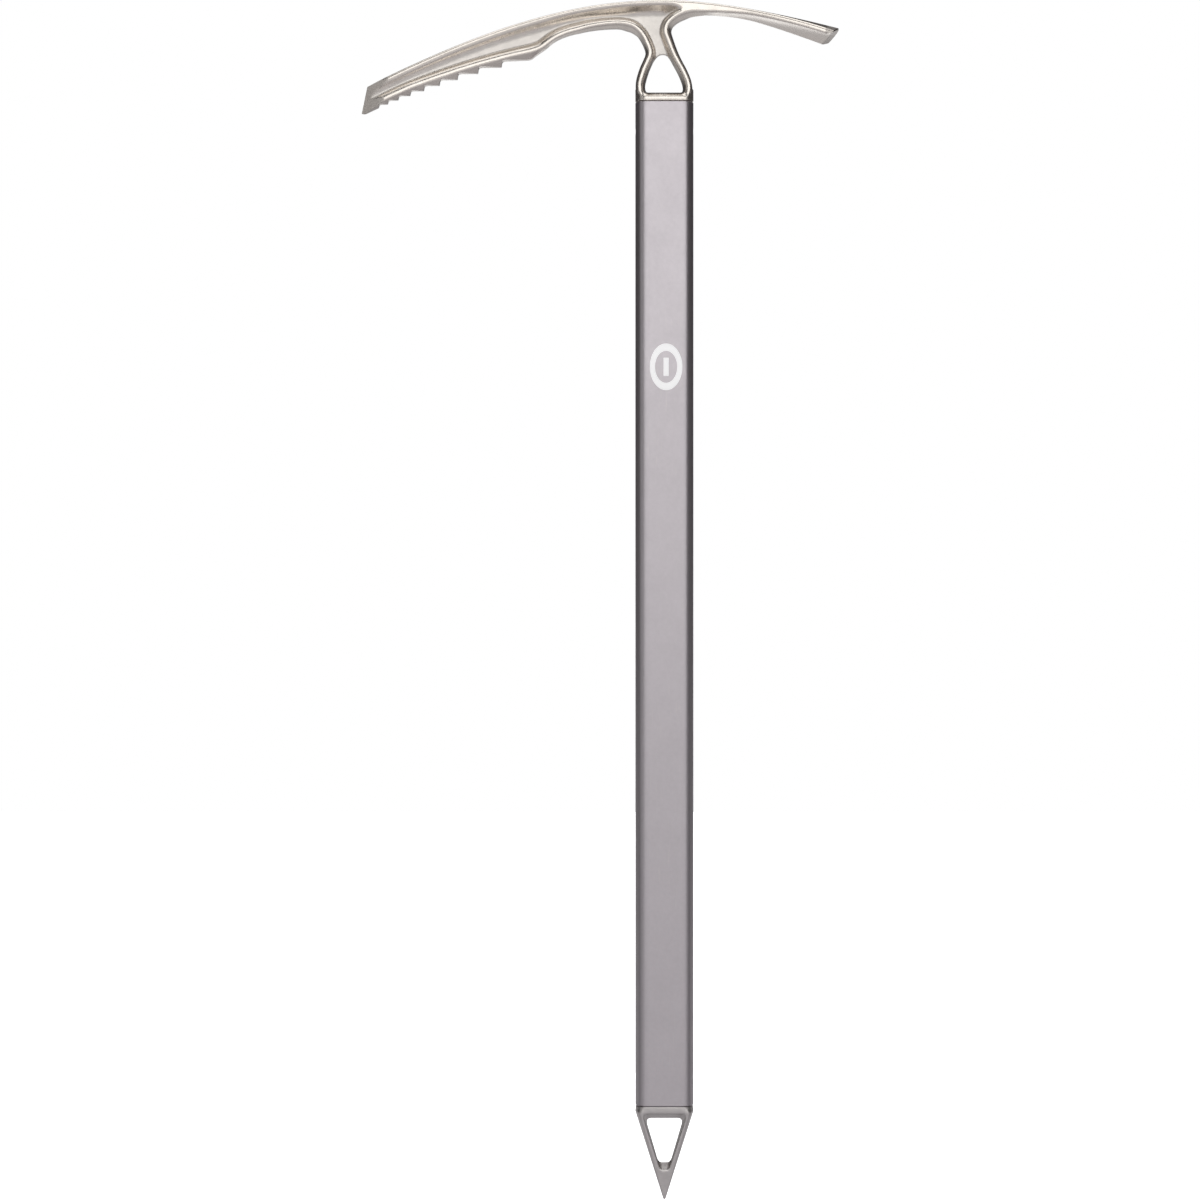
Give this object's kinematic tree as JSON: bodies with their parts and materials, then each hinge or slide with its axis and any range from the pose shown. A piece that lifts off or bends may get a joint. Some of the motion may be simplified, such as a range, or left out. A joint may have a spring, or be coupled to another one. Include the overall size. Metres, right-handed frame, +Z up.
{
  "type": "ice axe",
  "caption": "Straight ice axe: cast head with toothed pick, flared adze and triangular karabiner eye, oval aluminium shaft, cast skeleton spike.",
  "frame": {"origin": "middle of the karabiner eye in the head, on the shaft's centre line", "axes": "+Z up along the shaft from spike to head, +X from the pick towards the adze, Y across the blade, so the pick points to -X and the broad flats of the shaft face -Y and +Y"},
  "size_m": [0.2387, 0.0446, 0.5989],
  "materials": {
    "cast_steel": "satin",
    "anodised_tube": "satin",
    "spike_steel": "satin",
    "pin_steel": "satin",
    "epoxy": "matte"
  },
  "bodies": {
    "root": {"head": "cast_steel", "shaft": "anodised_tube", "spike": "spike_steel", "head_cross_pin": "pin_steel", "spike_cross_pin": "pin_steel", "head_bond": "epoxy", "spike_bond": "epoxy"}
  },
  "joints": []
}
